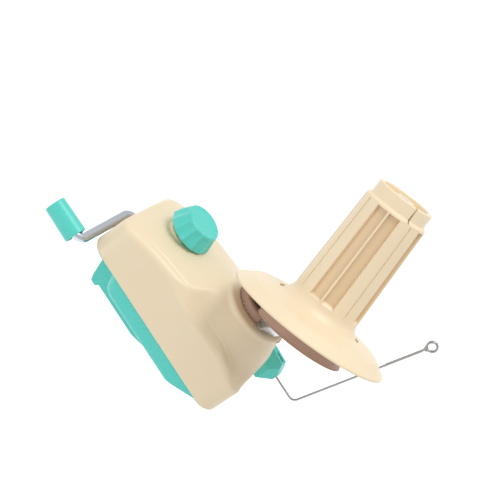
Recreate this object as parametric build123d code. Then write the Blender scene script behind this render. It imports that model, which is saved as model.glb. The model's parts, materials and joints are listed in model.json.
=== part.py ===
from build123d import *
from math import sin, cos, tan, atan, atan2, pi, radians, degrees, sqrt, hypot
import os

os.makedirs("parts", exist_ok=True)

# Frame: +X from the crank end to the guide end, +Z up along the spindle,
# the origin on the underside of the base, on the spindle axis.

# housing
body_back = -95.6
near_front_x = 41.5
far_front_x = 24.0
body_width = 86.0
parting_z = 15.0
shoulder_z = 45.0
crown_z = 52.5
side_fall = 5.5
rear_fall_x = -44.0
rear_fall_run = 42.0
rear_fall = 7.0
front_fall_x = 6.0
front_fall_run = 30.0
front_fall = 11.0
wall = 2.5
side_draft = 2.5
rear_corner_r = 13.0
front_corner_r = 12.0
far_corner_r = 9.0
top_edge_r = 7.0
lip = 1.3
seam = 0.05

# base tray
base_floor = 2.5
base_heel_x = -67.0
base_heel_end_x = -73.0
base_heel_r = 10.0
seat_end_x = -61.0
seat_recess = 0.5
base_toe_x = 2.5
base_toe_end_x = 26.0
base_toe_rise = 12.5
base_side_r = 5.0

# neck
neck_top_z = 66.8
neck_top_r = 25.5
neck_lean_deg = 26.7
neck_blend_r = 15.0
neck_foot_z = 45.5
neck_edge_r = 2.0
neck_plate = 3.0

# clearances
run_clear = 0.05
slide_clear = 0.1
gap = 0.3
thin_gap = 0.5

# crank
crank_y = 9.0
crank_z = 20.5
rod_r = 3.4
arm_x = -100.3
arm_length = 58.0
arm_rest_deg = 10.9
arm_bend_r = 7.0
grip_end_x = -129.2
grip_length = 25.2
grip_r = 7.7
grip_end_r = 7.2
grip_flat = 7.0
grip_sides = 8
grip_mouth_r = 6.2
grip_mouth = 2.2
grip_mouth_taper = 3.0
grip_pocket_r = 5.5
grip_pocket = 5.6
grip_cap_thick = 3.2
crank_boss_r = 6.4
crank_bush_r = 4.9
crank_bush_length = 9.0
clip_r = 5.2
clip_thick = 1.0

# gear train
module = 1.0
idler_reach = 28.0
pinion_teeth = 16
idler_teeth = 40
bevel_big_teeth = 30
bevel_small_teeth = 15
bevel_face = 5.0
addendum = 0.85
dedendum = 1.2
tooth_back = 0.16
bevel_back = 0.26
spur_z = 38.4
spur_thick = 5.0
idler_hub_r = 4.0
axle_r = 2.0
axle_foot_r = 5.0
axle_head_r = 3.6
rod_end_gap = 5.2
pedestal_x = -46.0
pedestal_length = 6.0
pedestal_width = 14.0
pedestal_top = 27.0

# spindle
post_r = 3.0
post_top_z = 84.6
sleeve_r = 5.5
sleeve_foot_z = 7.0
post_boss_r = 8.0
neck_bush_r = 7.5
strip = 1.2
strip_width = 13.4
strip_bend_r = 2.5
strip_tail = 9.0
strip_reach = 21.3
web_lean_deg = 26.0
rivet_r = 1.3
rivet_rise = 0.5
sleeve_neck_r = 4.6
bracket_nut_r = 7.0
bracket_nut_height = 2.6

# neck ring
ring_r = 17.6
ring_height = 6.5
ring_wall = 3.2
ring_floor = 1.2
ring_slot_clear = 0.3
ring_notches = 36
notch_depth = 0.8
notch_height = 1.2

# cone
cone_tilt_deg = 25.8
cone_heading_deg = 139.0
apex_z = 179.5
rim_distance = 85.1
roll_ratio = 2.5
rim_r = 57.7
rim_lip = 1.2
band_height = 7.7
band_top_r = 48.0
disc_height = 12.0
disc_wall = 2.0
band_wall = 1.3
rim_wall = 0.6
tube_foot_r = 24.4
tube_foot_rise = 4.0
tube_top_r = 22.7
tube_top_h = 92.9
collar_r = 20.4
collar_top_h = 103.6
collar_shoulder = 1.4
tube_wall = 4.2
flute_depth = 2.4
flute_deg = 20.5
flute_rib_deg = 4.0
flute_count = 4
flute_foot_h = 17.0
flute_top_h = 91.4
flute_turn_deg = 48.9
groove_width = 0.8
groove_depth = 0.6
slit_width = 1.2
slit_deg = 26.0
hub_r = 6.0
hub_plate = 3.0
pin_r = 3.0
pin_foot_h = -8.0
pin_head_r = 5.0
pin_head = 1.5
cap_r = 6.5
cap_thick = 2.0
slot_length = 9.0
slot_width = 3.0
slot_reach = 29.5
recess_depth = 3.5

# large ring on the cone
drum_low_h = -11.0
drum_wall = 3.4
drum_notches = 60
drum_notch_width = 1.2
drum_notch_depth = 0.7
drum_notch_rise = 2.6
drum_band_low = -9.5
drum_band_high = 4.0
sun_low_z = 79.1
sun_edge_z = 80.0
sun_high_z = 81.0
sun_edge = 1.2
sun_clear = 0.08

# clamp
clamp_x = -66.0
screw_r = 4.0
screw_low_z = -19.5
screw_high_z = 61.0
screw_head_r = 6.0
screw_head = 3.0
sleeve_nut_r = 6.0
sleeve_nut_low_z = 25.0
sleeve_nut_grip = 9.0
sleeve_clip_r = 8.4
knob_low_z = 54.6
knob_height = 14.0
knob_r = 17.3
knob_top_r = 13.4
knob_flutes = 13
flute_r = 3.2
knob_edge = 1.2
collar_depth = 6.0
knob_collar_r = 9.5
knob_collar_slots = 14
slot_cut_depth = 1.0
slot_cut_width = 1.4
foot_ring_r = 12.8
foot_ring_z = 52.0
clamp_boss_r = 9.5
knob_washer_r = 9.0
knob_washer = 1.2
jaw_width = 32.0
jaw_top_z = -10.0
jaw_thick = 6.0
jaw_tip_x = -20.0
jaw_heel_x = -79.0
heel_lean = 4.8
heel_low_z = -18.6
heel_top_z = -2.6
heel_length = 11.0
tongue_x = -80.0
tongue_thick = 4.0
tongue_y = -7.0
tongue_width = 14.0
tongue_top_z = 25.0
pad_length = 22.0
pad_width = 22.0
pad_thick = 1.6
pad_sink = 0.6

# guide
holder_inset = 13.0
holder_z = 32.8
holder_half = 7.0
holder_nose_x = 45.0
holder_top_z = 44.6
holder_low_z = 23.2
holder_slot = 1.6
wire_r = 0.8
wire_depth = 11.0
wire_bend_x = 64.7
wire_bend_r = 3.0
eye_x = 84.2
eye_y = 54.4
eye_z = 126.2
eye_r = 3.5
eye_tail = 30.0
turn_pitch = 1.5
peg_r = 3.0

# cover screws
screw_back_x = -56.0
screw_front_x = -6.0
screw_y = 34.5
cover_screw_r = 1.5
cover_screw_head_r = 3.0
cover_screw_head = 2.0
cover_screw_length = 16.0
cover_boss_r = 3.8


def ring(r_out, r_in, low, high):
    body = Cylinder(r_out, high - low, align=(Align.CENTER, Align.CENTER, Align.MIN))
    bore = Cylinder(r_in, high - low, align=(Align.CENTER, Align.CENTER, Align.MIN))
    return Pos(0, 0, low) * (body - bore)


def rod(r, low, high):
    return Pos(0, 0, low) * Cylinder(r, high - low, align=(Align.CENTER, Align.CENTER, Align.MIN))


def along_x(shape, x, y, z):
    return Pos(x, y, z) * Rot(0, 90, 0) * shape


def block(x0, x1, y0, y1, z0, z1):
    return Pos((x0 + x1) / 2, (y0 + y1) / 2, (z0 + z1) / 2) * Box(x1 - x0, y1 - y0, z1 - z0)


def turned(points):
    line = Polyline(*[(r, 0, z) for r, z in points], close=True)
    return revolve(make_face(line), Axis.Z)


def gear_outline(teeth, phase_deg, low, high, back=tooth_back):
    pitch = module * teeth / 2
    base = pitch * cos(radians(20))
    root = pitch - dedendum * module
    tip = pitch + addendum * module
    half = pi / 2 / teeth - back / 2 / pitch
    inv_pitch = tan(radians(20)) - radians(20)
    flank = []
    for step in range(4):
        r = max(root, base) + (tip - max(root, base)) * step / 3
        turn = sqrt(max(0.0, (r / base) ** 2 - 1))
        flank.append((r, half + inv_pitch - (turn - atan(turn))))
    outline = []
    for n in range(teeth):
        mid = radians(phase_deg) + 2 * pi * n / teeth
        outline.append((root, mid - flank[0][1] - 0.01))
        outline += [(r, mid - a) for r, a in flank]
        outline += [(r, mid + a) for r, a in reversed(flank)]
        outline.append((root, mid + flank[0][1] + 0.01))
    line = Polyline(*[(r * cos(a), r * sin(a)) for r, a in outline], close=True)
    return Pos(0, 0, low) * extrude(make_face(line), high - low)


def bevel_tooth(teeth, half_cone, cone_length, mid):
    half = module * (pi / 4) - bevel_back / 2
    profile = [(-dedendum, half + dedendum * 0.42), (0, half), (addendum, half - addendum * 0.42)]
    side = [(n, t) for n, t in profile] + [(n, -t) for n, t in reversed(profile)]
    heart = Vector(sin(half_cone) * cos(mid), sin(half_cone) * sin(mid), cos(half_cone))
    ends = []
    for reach in (cone_length, cone_length - bevel_face):
        corners = []
        for n, t in side:
            angle = half_cone + n / cone_length
            swing = mid + t / (cone_length * sin(angle))
            ray = Vector(sin(angle) * cos(swing), sin(angle) * sin(swing), cos(angle))
            corners.append(ray * (reach / ray.dot(heart)))
        ends.append(Wire.make_polygon(corners, close=True))
    return Solid.make_loft(ends, ruled=True)


def bevel_gear(teeth, half_cone, cone_length, phase_deg, hub_r_value, hub_back):
    root = half_cone - (dedendum * 0.92) / cone_length
    inner = cone_length - bevel_face
    toe = (inner * sin(root), inner * cos(root))
    heel = (cone_length * sin(root), cone_length * cos(root))
    blank = turned([(0, toe[1]), toe, heel, (heel[0] - 1.2, heel[1] + 2.2),
                    (hub_r_value, heel[1] + 2.2), (hub_r_value, heel[1] + hub_back),
                    (0, heel[1] + hub_back)])
    cogs = [bevel_tooth(teeth, half_cone, cone_length, radians(phase_deg) + 2 * pi * n / teeth)
            for n in range(teeth)]
    return blank.fuse(*cogs)


# the housing's outline in plan: the front wall runs back towards the far side
front_slope = (near_front_x - far_front_x) / body_width


def front_x(y, inset):
    return near_front_x - front_slope * (y + body_width / 2) - inset * hypot(1, front_slope)


def plan_face(inset):
    half = body_width / 2 - inset
    return make_face(Polyline((body_back + inset, -half), (front_x(-half, inset), -half),
                              (front_x(half, inset), half), (body_back + inset, half), close=True))


# the roof is highest along the middle and falls to both sides and both ends
def roof_height(x, y):
    rear = max(0.0, (rear_fall_x - x) / rear_fall_run)
    front = max(0.0, (x - front_fall_x) / front_fall_run)
    side = y / (body_width / 2)
    return crown_z - side_fall * side ** 2 - rear_fall * rear ** 2 - front_fall * front ** 2


def roof_prism(inset):
    span_x = near_front_x - body_back + 16
    span_y = body_width + 16
    rows = []
    for across in range(7):
        y = span_y * (across / 6 - 0.5)
        xs = [body_back - 8 + span_x * along / 14 for along in range(15)]
        rows.append([Vector(x, y, roof_height(x, y) - inset) for x in xs])
    sheet = Face.make_surface_from_array_of_points(rows, tol=0.02)
    return extrude(sheet, crown_z, dir=(0, 0, -1))


def side_prism(inset, low):
    half = body_width / 2 - inset
    rise = crown_z + 20
    top = half - side_draft * (rise - low) / (shoulder_z - low)
    face = make_face(Polyline((0, -half, low), (0, -top, rise), (0, top, rise), (0, half, low), close=True))
    prism = extrude(face, near_front_x - body_back + 20, dir=(1, 0, 0))
    return Pos(body_back - 10, 0, 0) * prism


def upright(form):
    return [e for e in form.edges() if abs((e @ 0).Z - (e @ 1).Z) > 0.5 * e.length]


def round_corners(form, inset):
    rear = [e for e in upright(form) if e.center().X < body_back / 2]
    form = fillet(rear, rear_corner_r - inset)
    near = [e for e in upright(form) if e.center().X > 0 and e.center().Y < -body_width / 4]
    form = fillet(near, front_corner_r - inset)
    far = [e for e in upright(form) if e.center().X > 0 and e.center().Y > body_width / 4]
    return fillet(far, far_corner_r - inset)


def cover_form(inset, low):
    form = Pos(0, 0, low) * extrude(plan_face(inset), crown_z + 10)
    form = form & side_prism(inset, low)
    form = round_corners(form, inset)
    form = form & roof_prism(inset)
    top_edges = [e for e in form.edges() if e.center().Z > 28
                 and abs((e @ 0).Z - (e @ 1).Z) < 0.5 * e.length]
    return fillet(top_edges, top_edge_r - inset)


crank_axis = (crank_y, crank_z)
idler_x = -sqrt(idler_reach ** 2 - crank_y ** 2)
idler_y = crank_y

# top cover: domed shell, leaning neck with a wide blend at its foot
neck_lean = radians(neck_lean_deg)


def neck_form(inset, top):
    radius = neck_blend_r + inset
    low = neck_foot_z - inset
    turn_z = low + radius * (1 - sin(neck_lean))
    turn_r = neck_top_r + (neck_top_z - turn_z - inset * sin(neck_lean)) * tan(neck_lean)
    turn_r = turn_r - inset / cos(neck_lean)
    top_r = turn_r - (top - turn_z) * tan(neck_lean)
    centre_r = turn_r + radius * cos(neck_lean)
    half_turn = (pi / 2 + neck_lean) / 2
    mid_r = centre_r - radius * sin(half_turn)
    side = Line((top_r, 0, top), (turn_r, 0, turn_z))
    flare = ThreePointArc(side @ 1, (mid_r, 0, low + radius * (1 - cos(half_turn))), (centre_r, 0, low))
    foot = Polyline(flare @ 1, (centre_r, 0, parting_z + 9), (0, 0, parting_z + 9), (0, 0, top), side @ 0)
    return revolve(make_face([side, flare, foot]), Axis.Z)


outer = cover_form(0, parting_z)
neck = neck_form(0, neck_top_z)
clip = round_corners(Pos(0, 0, parting_z) * extrude(plan_face(0.6), crown_z + 20), 0.6)
neck = neck & clip
rim = [e for e in neck.edges() if abs(e.center().Z - neck_top_z) < 0.01]
neck = fillet(rim, neck_edge_r)
outer = outer + neck
inner = cover_form(wall, parting_z - 1)
neck_room_r = neck_top_r + (neck_top_z - roof_height(0, 0)) * tan(neck_lean) - wall / cos(neck_lean)
neck_inner = turned([(0, parting_z + 1), (neck_room_r, parting_z + 1),
                     (neck_room_r, roof_height(0, 0)),
                     (neck_top_r - wall, neck_top_z - neck_plate), (0, neck_top_z - neck_plate)])
knob_collar_top = knob_low_z - knob_washer - thin_gap
knob_collar_low = foot_ring_z - collar_depth
foot_ring = Pos(clamp_x, 0, 0) * rod(foot_ring_r, knob_collar_low, foot_ring_z)
foot_ring = fillet(foot_ring.edges().group_by(Axis.Z)[-1], 1.0)
bosses = []
screw_places = [(screw_back_x, -screw_y), (screw_back_x, screw_y),
                (screw_front_x, -screw_y), (screw_front_x, screw_y)]
for bx, by in screw_places:
    bosses.append(Pos(bx, by, 0) * rod(cover_boss_r, parting_z + seam, shoulder_z))
bosses.append(along_x(rod(crank_boss_r, 0, crank_bush_length - 1), body_back + 1, crank_y, crank_z))
top_cover = outer - inner - neck_inner
fill = [(b & outer) for b in bosses]
top_cover = top_cover + fill + [foot_ring]
top_cover = top_cover - rod(neck_bush_r + seam, neck_top_z - neck_plate - 1, neck_top_z + 1)
top_cover = top_cover - Pos(clamp_x, 0, 0) * rod(knob_collar_r + seam, parting_z, crown_z + 20)
top_cover = top_cover - along_x(rod(crank_bush_r + seam, -5, crank_bush_length + 5),
                                body_back, crank_y, crank_z)
for bx, by in screw_places:
    pilot_top = cover_screw_head + seam + cover_screw_length + 1
    top_cover = top_cover - Pos(bx, by, 0) * rod(cover_screw_r + seam, parting_z - 1, pilot_top)
holder_y = body_width / 2 - holder_inset
holder_face_x = front_x(holder_y, 0)
top_cover = top_cover - along_x(rod(peg_r + seam, -8, 4), holder_face_x, holder_y, holder_z)

# slotted collar in the foot ring, in which the sleeve nut turns
knob_collar_form = ring(knob_collar_r, sleeve_nut_r + run_clear, knob_collar_low, knob_collar_top)
for n in range(knob_collar_slots):
    cutter = block(knob_collar_r - slot_cut_depth, knob_collar_r + 1, -slot_cut_width / 2,
                   slot_cut_width / 2, foot_ring_z, knob_collar_top + 1)
    knob_collar_form = knob_collar_form - Rot(0, 0, n * 360 / knob_collar_slots) * cutter
knob_collar = Pos(clamp_x, 0, 0) * knob_collar_form


# base tray: a tub with slanted ends under a thin plate that closes the cover
def tub_form(inset, floor_z):
    half = body_width / 2 - lip - inset
    toe = atan2(base_toe_rise, base_toe_end_x - base_toe_x)
    heel = atan2(base_toe_rise, base_heel_x - base_heel_end_x)
    high = parting_z - seam
    toe_x = base_toe_x - inset * tan(toe / 2)
    heel_x = base_heel_x + inset * tan(heel / 2)
    side = Polyline((heel_x - (high - floor_z) / tan(heel), 0, high), (heel_x, 0, floor_z),
                    (toe_x, 0, floor_z), (toe_x + (high - floor_z) / tan(toe), 0, high), close=True)
    form = Pos(0, half, 0) * extrude(make_face(side), 2 * half, dir=(0, -1, 0))
    ends = [e for e in form.edges() if e.center().X < base_heel_x + inset and abs(e.center().Y) > half - 1]
    ends = [e for e in ends if abs((e @ 0).Z - (e @ 1).Z) > 5]
    return fillet(ends, base_heel_r - inset)


tray_out = tub_form(0, 0)
long_edges = [e for e in tray_out.edges() if e.center().Z < 0.5 and e.length > 40
              and abs(e.center().Y) > 20]
tray_out = fillet(long_edges, base_side_r)
seam_plan = round_corners(extrude(plan_face(lip), parting_z - seam), lip)
tray_out = tray_out & seam_plan
rim_plate = seam_plan & block(body_back, near_front_x, -body_width, body_width, base_toe_rise, parting_z)
tray_out = tray_out + rim_plate
tray_out = tray_out - block(body_back, seat_end_x, -body_width, body_width, -1, seat_recess)
cavity = tub_form(wall, base_floor)
base_tray = tray_out - cavity
post_boss = rod(post_boss_r, base_floor - 1, sleeve_foot_z - thin_gap)
idler_boss = Pos(idler_x, idler_y, 0) * rod(axle_foot_r, base_floor - 1, base_floor + 0.6)
pedestal = block(pedestal_x, pedestal_x + pedestal_length, crank_y - pedestal_width / 2,
                 crank_y + pedestal_width / 2, base_floor - 1, pedestal_top)
clamp_boss = Pos(clamp_x, 0, 0) * rod(clamp_boss_r, seat_recess, parting_z - 2)
tray_bosses = [Pos(bx, by, 0) * rod(cover_boss_r + 1.2, 0, parting_z - seam) for bx, by in screw_places]
tray_bosses = [b & tray_out for b in tray_bosses]
base_tray = base_tray + [post_boss, idler_boss, pedestal, clamp_boss] + tray_bosses
base_tray = base_tray - rod(post_r, base_floor - 1.2, 20)
base_tray = base_tray - Pos(idler_x, idler_y, 0) * rod(axle_r, base_floor - 1.2, 20)
base_tray = base_tray - along_x(rod(crank_bush_r + seam, -5, pedestal_length + 5),
                                pedestal_x, crank_y, crank_z)
base_tray = base_tray - Pos(clamp_x, 0, 0) * rod(screw_r + run_clear, -1, parting_z)
tongue_cut = block(tongue_x - slide_clear, tongue_x + tongue_thick + slide_clear,
                   tongue_y - tongue_width / 2 - slide_clear, tongue_y + tongue_width / 2 + slide_clear,
                   -5, parting_z)
base_tray = base_tray - tongue_cut
for bx, by in screw_places:
    base_tray = base_tray - Pos(bx, by, 0) * rod(cover_screw_r + gap, -1, parting_z + 1)
    base_tray = base_tray - Pos(bx, by, 0) * rod(cover_screw_head_r + gap, -1, cover_screw_head + seam)

screws = []
for bx, by in screw_places:
    head = rod(cover_screw_head_r, seam, cover_screw_head)
    shank = rod(cover_screw_r, cover_screw_head, cover_screw_head + cover_screw_length)
    screws.append(Pos(bx, by, 0) * (head + shank))
cover_screws = Compound(children=[s.solid() for s in screws])

# bearings of the crank
outer_bush = rod(crank_bush_r, 0, crank_bush_length) - rod(rod_r + run_clear, -1, crank_bush_length + 1)
crank_bush = along_x(outer_bush, body_back, crank_y, crank_z)
inner_bush = rod(crank_bush_r, 0, pedestal_length) - rod(rod_r + run_clear, -1, pedestal_length + 1)
pedestal_bush = along_x(inner_bush, pedestal_x, crank_y, crank_z)

# crank rod: shaft, arm and grip pin bent from one bar
arm = radians(arm_rest_deg)
grip_y = crank_y - arm_length * cos(arm)
grip_z = crank_z - arm_length * sin(arm)
rod_end_x = idler_x - rod_end_gap
rod_tip_x = grip_end_x + grip_cap_thick + gap
path = FilletPolyline((rod_end_x, crank_y, crank_z), (arm_x, crank_y, crank_z),
                      (arm_x, grip_y, grip_z), (rod_tip_x, grip_y, grip_z), radius=arm_bend_r)
rod_disc = Plane(origin=(rod_end_x, crank_y, crank_z), z_dir=(-1, 0, 0)) * Circle(rod_r)
crank_rod = sweep(rod_disc, path=path)

# grip: a closed tube with soft flats, wide open at the bend of the rod
grip_shelf = grip_pocket
grip_form = turned([(grip_pocket_r, 0), (grip_end_r - 0.6, 0), (grip_end_r, 0.8), (grip_r, grip_length - 0.8),
                    (grip_r - 0.6, grip_length), (grip_mouth_r, grip_length),
                    (grip_mouth_r, grip_length - grip_mouth),
                    (rod_r + run_clear, grip_length - grip_mouth - grip_mouth_taper),
                    (rod_r + run_clear, grip_shelf), (grip_pocket_r, grip_shelf)])
flats = extrude(RegularPolygon(grip_flat, grip_sides, major_radius=False), grip_length - 3)
mouth_band = rod(grip_r + 1, grip_length - 3, grip_length)
grip_form = grip_form & (flats + mouth_band)
crank_grip = along_x(grip_form, grip_end_x, grip_y, grip_z)
grip_cap = along_x(rod(grip_pocket_r, 0.2, grip_cap_thick), grip_end_x, grip_y, grip_z)
grip_clip_x = grip_end_x + grip_shelf - gap - clip_thick
grip_clip = along_x(ring(clip_r, rod_r, 0, clip_thick), grip_clip_x, grip_y, grip_z)

# crank gear: its apex lies where the crank and idler axes cross
big_cone = atan(bevel_big_teeth / bevel_small_teeth)
small_cone = atan(bevel_small_teeth / bevel_big_teeth)
cone_length = module * hypot(bevel_big_teeth, bevel_small_teeth) / 2
toward_crank = Plane(origin=(idler_x, crank_y, crank_z), z_dir=(-1, 0, 0), x_dir=(0, 0, -1))
crank_gear_form = bevel_gear(bevel_big_teeth, big_cone, cone_length, 0, 6.0, 3.4)
crank_gear_form = crank_gear_form - rod(rod_r, -30, 60)
crank_gear = toward_crank.location * crank_gear_form
clip_x = pedestal_x + pedestal_length + gap
crank_clip = along_x(ring(clip_r, rod_r, 0, clip_thick), clip_x, crank_y, crank_z)

# idler: small bevel gear, long hub and large spur gear in one moulding
down = Plane(origin=(idler_x, crank_y, crank_z), z_dir=(0, 0, -1), x_dir=(-1, 0, 0))
half_tooth = 180 / bevel_small_teeth
small_bevel = down.location * bevel_gear(bevel_small_teeth, small_cone, cone_length, half_tooth,
                                         axle_foot_r, 2.4)
mesh_deg = degrees(atan2(-idler_y, -idler_x))
spur = Pos(idler_x, idler_y, 0) * gear_outline(idler_teeth, mesh_deg, spur_z, spur_z + spur_thick)
hub_low = base_floor + 0.6 + gap
hub_high = spur_z + spur_thick + 1
hub = Pos(idler_x, idler_y, 0) * rod(idler_hub_r, hub_low, hub_high)
idler_gear = small_bevel + hub + spur
idler_gear = idler_gear - Pos(idler_x, idler_y, 0) * rod(axle_r + run_clear, -5, 60)
below = block(idler_x - 30, idler_x + 30, -40, 60, -10, hub_low)
idler_gear = idler_gear - below
axle_top = hub_high + gap
idler_axle = Pos(idler_x, idler_y, 0) * (rod(axle_r, base_floor - 1.2, axle_top)
                                         + rod(axle_head_r, axle_top, axle_top + 1))

# spindle: fixed post, turning sleeve with its pinion
fixed_post = rod(post_r, base_floor - 1.2, post_top_z)
ring_low = neck_top_z + gap
bracket_z = ring_low + ring_floor
sleeve_top = bracket_z + strip + bracket_nut_height
sleeve_form = turned([(post_r + run_clear, sleeve_foot_z), (sleeve_r, sleeve_foot_z),
                      (sleeve_r, ring_low), (sleeve_neck_r, ring_low),
                      (sleeve_neck_r, sleeve_top), (post_r + run_clear, sleeve_top)])
spindle_sleeve = sleeve_form
pinion_phase = mesh_deg + 180 + 180 / pinion_teeth
pinion_low = spur_z - 0.5
pinion_high = spur_z + spur_thick + 0.5
spindle_pinion = gear_outline(pinion_teeth, pinion_phase, pinion_low, pinion_high) - rod(sleeve_r, 0, 90)
neck_bush = ring(neck_bush_r, sleeve_r + run_clear, neck_top_z - neck_plate, neck_top_z)

# cup that turns with the spindle; the bracket lies on its floor and leaves through a gap in its wall
ring_high = ring_low + ring_height
ring_form = turned([(sleeve_neck_r, ring_low), (ring_r, ring_low), (ring_r, ring_high - 0.8),
                    (ring_r - 0.8, ring_high), (ring_r - ring_wall, ring_high),
                    (ring_r - ring_wall, bracket_z), (sleeve_neck_r, bracket_z)])
notches = []
for n in range(ring_notches):
    cutter = block(ring_r - notch_depth, ring_r + 1, -0.55, 0.55, ring_low - 1, ring_low + notch_height)
    notches.append(Rot(0, 0, n * 360 / ring_notches) * cutter)
ring_gap = block(0, ring_r + 1, -strip_width / 2 - ring_slot_clear, strip_width / 2 + ring_slot_clear,
                 bracket_z, ring_high + 1)
neck_ring = ring_form - notches - Rot(0, 0, cone_heading_deg + 180) * ring_gap

# the tilted cone's own frame
tilt = radians(cone_tilt_deg)
heading = radians(cone_heading_deg)
cone_dir = Vector(sin(tilt) * cos(heading), sin(tilt) * sin(heading), cos(tilt))
rim_centre = Vector(0, 0, apex_z) - cone_dir * rim_distance
side_dir = Vector(-sin(heading), cos(heading), 0)
cone_frame = Plane(origin=rim_centre, z_dir=cone_dir, x_dir=side_dir)
small_half = atan(sin(tilt) / (roll_ratio + cos(tilt)))
drum_half = tilt - small_half

# fixed roller on the post, on which the large ring rolls
sun_r_low = (apex_z - sun_low_z) * tan(small_half) - sun_clear
sun_r_high = (apex_z - sun_edge_z) * tan(small_half) - sun_clear
sun_roller = turned([(post_r, sun_low_z), (sun_r_low, sun_low_z), (sun_r_high, sun_edge_z),
                     (sun_r_high - sun_edge, sun_high_z), (post_r, sun_high_z)])
post_nut_form = extrude(RegularPolygon(5.0, 6), 2.6) - rod(post_r, -1, 4)
post_nut = Pos(0, 0, sun_high_z) * post_nut_form

# bracket: one steel strip with two bends
lean = radians(web_lean_deg)
out_dir = Vector(-cos(heading), -sin(heading), 0)
strip_plane = Plane(origin=(0, 0, 0), x_dir=out_dir, z_dir=out_dir.cross(Vector(0, 0, 1)))
leg_h = pin_foot_h
leg_centre_a = rim_distance * sin(tilt) - leg_h * sin(tilt)
leg_centre_z = apex_z - rim_distance * cos(tilt) + leg_h * cos(tilt)
mid_z = bracket_z + strip / 2
web_a = leg_centre_a - strip_reach
web_z = leg_centre_z - mid_z
climb = (web_z * cos(tilt) - web_a * sin(tilt)) / cos(lean + tilt)
corner_a = strip_reach + climb * sin(lean)
corner_z = mid_z + climb * cos(lean)
end_a = leg_centre_a + strip_tail * cos(tilt)
end_z = leg_centre_z + strip_tail * sin(tilt)
run_line = FilletPolyline((-strip_tail, mid_z), (strip_reach, mid_z), (corner_a, corner_z),
                          (end_a, end_z), radius=strip_bend_r)
strip_face = trace(run_line, line_width=strip)
bracket_form = extrude(strip_plane * strip_face, strip_width / 2, both=True)
bracket = bracket_form - rod(sleeve_neck_r, bracket_z - 1, sleeve_top + 1)
pin_hole = cone_frame.location * rod(pin_r, leg_h - 8, leg_h + 8)
bracket = bracket - pin_hole
rivet_a = (strip_reach + corner_a) / 2
rivet_z = (mid_z + corner_z) / 2
web_out = Vector(out_dir.X * cos(lean), out_dir.Y * cos(lean), -sin(lean))
rivet_place = Plane(origin=Vector(out_dir.X * rivet_a, out_dir.Y * rivet_a, rivet_z), z_dir=web_out)
bracket = bracket + rivet_place.location * rod(rivet_r, -strip / 2 - rivet_rise, strip / 2 + rivet_rise)
bracket_nut = ring(bracket_nut_r, sleeve_neck_r, bracket_z + strip, sleeve_top)

# pin that carries the cone
pin_low = leg_h - strip / 2
cone_pin_form = rod(pin_r, pin_low, collar_top_h - 1)
cone_pin_form = cone_pin_form + rod(pin_head_r, pin_low - pin_head, pin_low)
cone_pin = cone_frame.location * cone_pin_form

# winding cone: flange, fluted tube and hub in one moulding
flange_in = disc_height - disc_wall
tube_foot_h = disc_height + tube_foot_rise
tube_in_r = tube_foot_r - tube_wall
collar_in_r = collar_r - 3.5
band_in_r = band_top_r - rim_wall
band_in_h = band_height - band_wall
profile = [(rim_r, 0), (rim_r, rim_lip), (band_top_r, band_height), (tube_foot_r + 3, disc_height),
           (tube_foot_r, tube_foot_h), (tube_top_r, tube_top_h), (collar_r, tube_top_h + collar_shoulder),
           (collar_r, collar_top_h - 1), (collar_r - 1, collar_top_h), (collar_in_r, collar_top_h),
           (collar_in_r, tube_top_h), (tube_in_r, disc_height), (tube_in_r, flange_in),
           (band_in_r, band_in_h), (rim_r - rim_wall, 0)]
cone_form = turned(profile)
taper = (tube_foot_r - tube_top_r) / (tube_top_h - tube_foot_h)


def wall_cut(low, high, depth, arc_deg, mid_deg):
    low_r = tube_foot_r - taper * (low - tube_foot_h)
    high_r = tube_foot_r - taper * (high - tube_foot_h)
    line = Polyline((low_r + 4, 0, low), (low_r, 0, low), (low_r - depth, 0, low + depth),
                    (high_r - depth, 0, high), (high_r + 4, 0, high), close=True)
    cut = revolve(make_face(line), Axis.Z, revolution_arc=arc_deg)
    return Rot(0, 0, mid_deg - arc_deg / 2) * cut


flutes = []
pair_step = 360 / flute_count
groove_deg = degrees(groove_width / tube_top_r)
for n in range(flute_count):
    pair_deg = flute_turn_deg + n * pair_step
    for side_sign in (-1, 1):
        mid = pair_deg + side_sign * (flute_rib_deg + flute_deg) / 2
        flutes.append(wall_cut(flute_foot_h, flute_top_h, flute_depth, flute_deg, mid))
    flutes.append(wall_cut(flute_foot_h, flute_top_h, groove_depth, groove_deg, pair_deg + pair_step / 2))
cone_form = cone_form - flutes
hub_low_h = flange_in
top_plate_h = collar_top_h - recess_depth - hub_plate
cone_hub = rod(hub_r, hub_low_h, hub_low_h + 16) + rod(tube_foot_r - 1, hub_low_h, hub_low_h + hub_plate)
cone_hub = cone_hub + rod(hub_r, top_plate_h - 8, top_plate_h + hub_plate)
cone_hub = cone_hub + rod(collar_in_r + 0.5, top_plate_h, top_plate_h + hub_plate)
cone_form = cone_form + cone_hub
cone_form = cone_form - rod(pin_r + run_clear, -20, 200)
slit = block(collar_in_r - 1, collar_r + 5, -slit_width / 2, slit_width / 2, tube_top_h, collar_top_h + 1)
cone_form = cone_form - Rot(0, 0, flute_turn_deg + slit_deg) * slit
for n in (0, 2):
    slot = SlotOverall(slot_length, slot_width)
    slot_cut = Pos(0, slot_reach, disc_height - 10) * extrude(slot, 13)
    cone_form = cone_form - Rot(0, 0, flute_turn_deg + n * 90) * slot_cut
winding_cone = cone_frame.location * cone_form
cap_low = collar_top_h - recess_depth + gap
cone_cap = cone_frame.location * ring(cap_r, pin_r, cap_low, cap_low + cap_thick)

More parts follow.
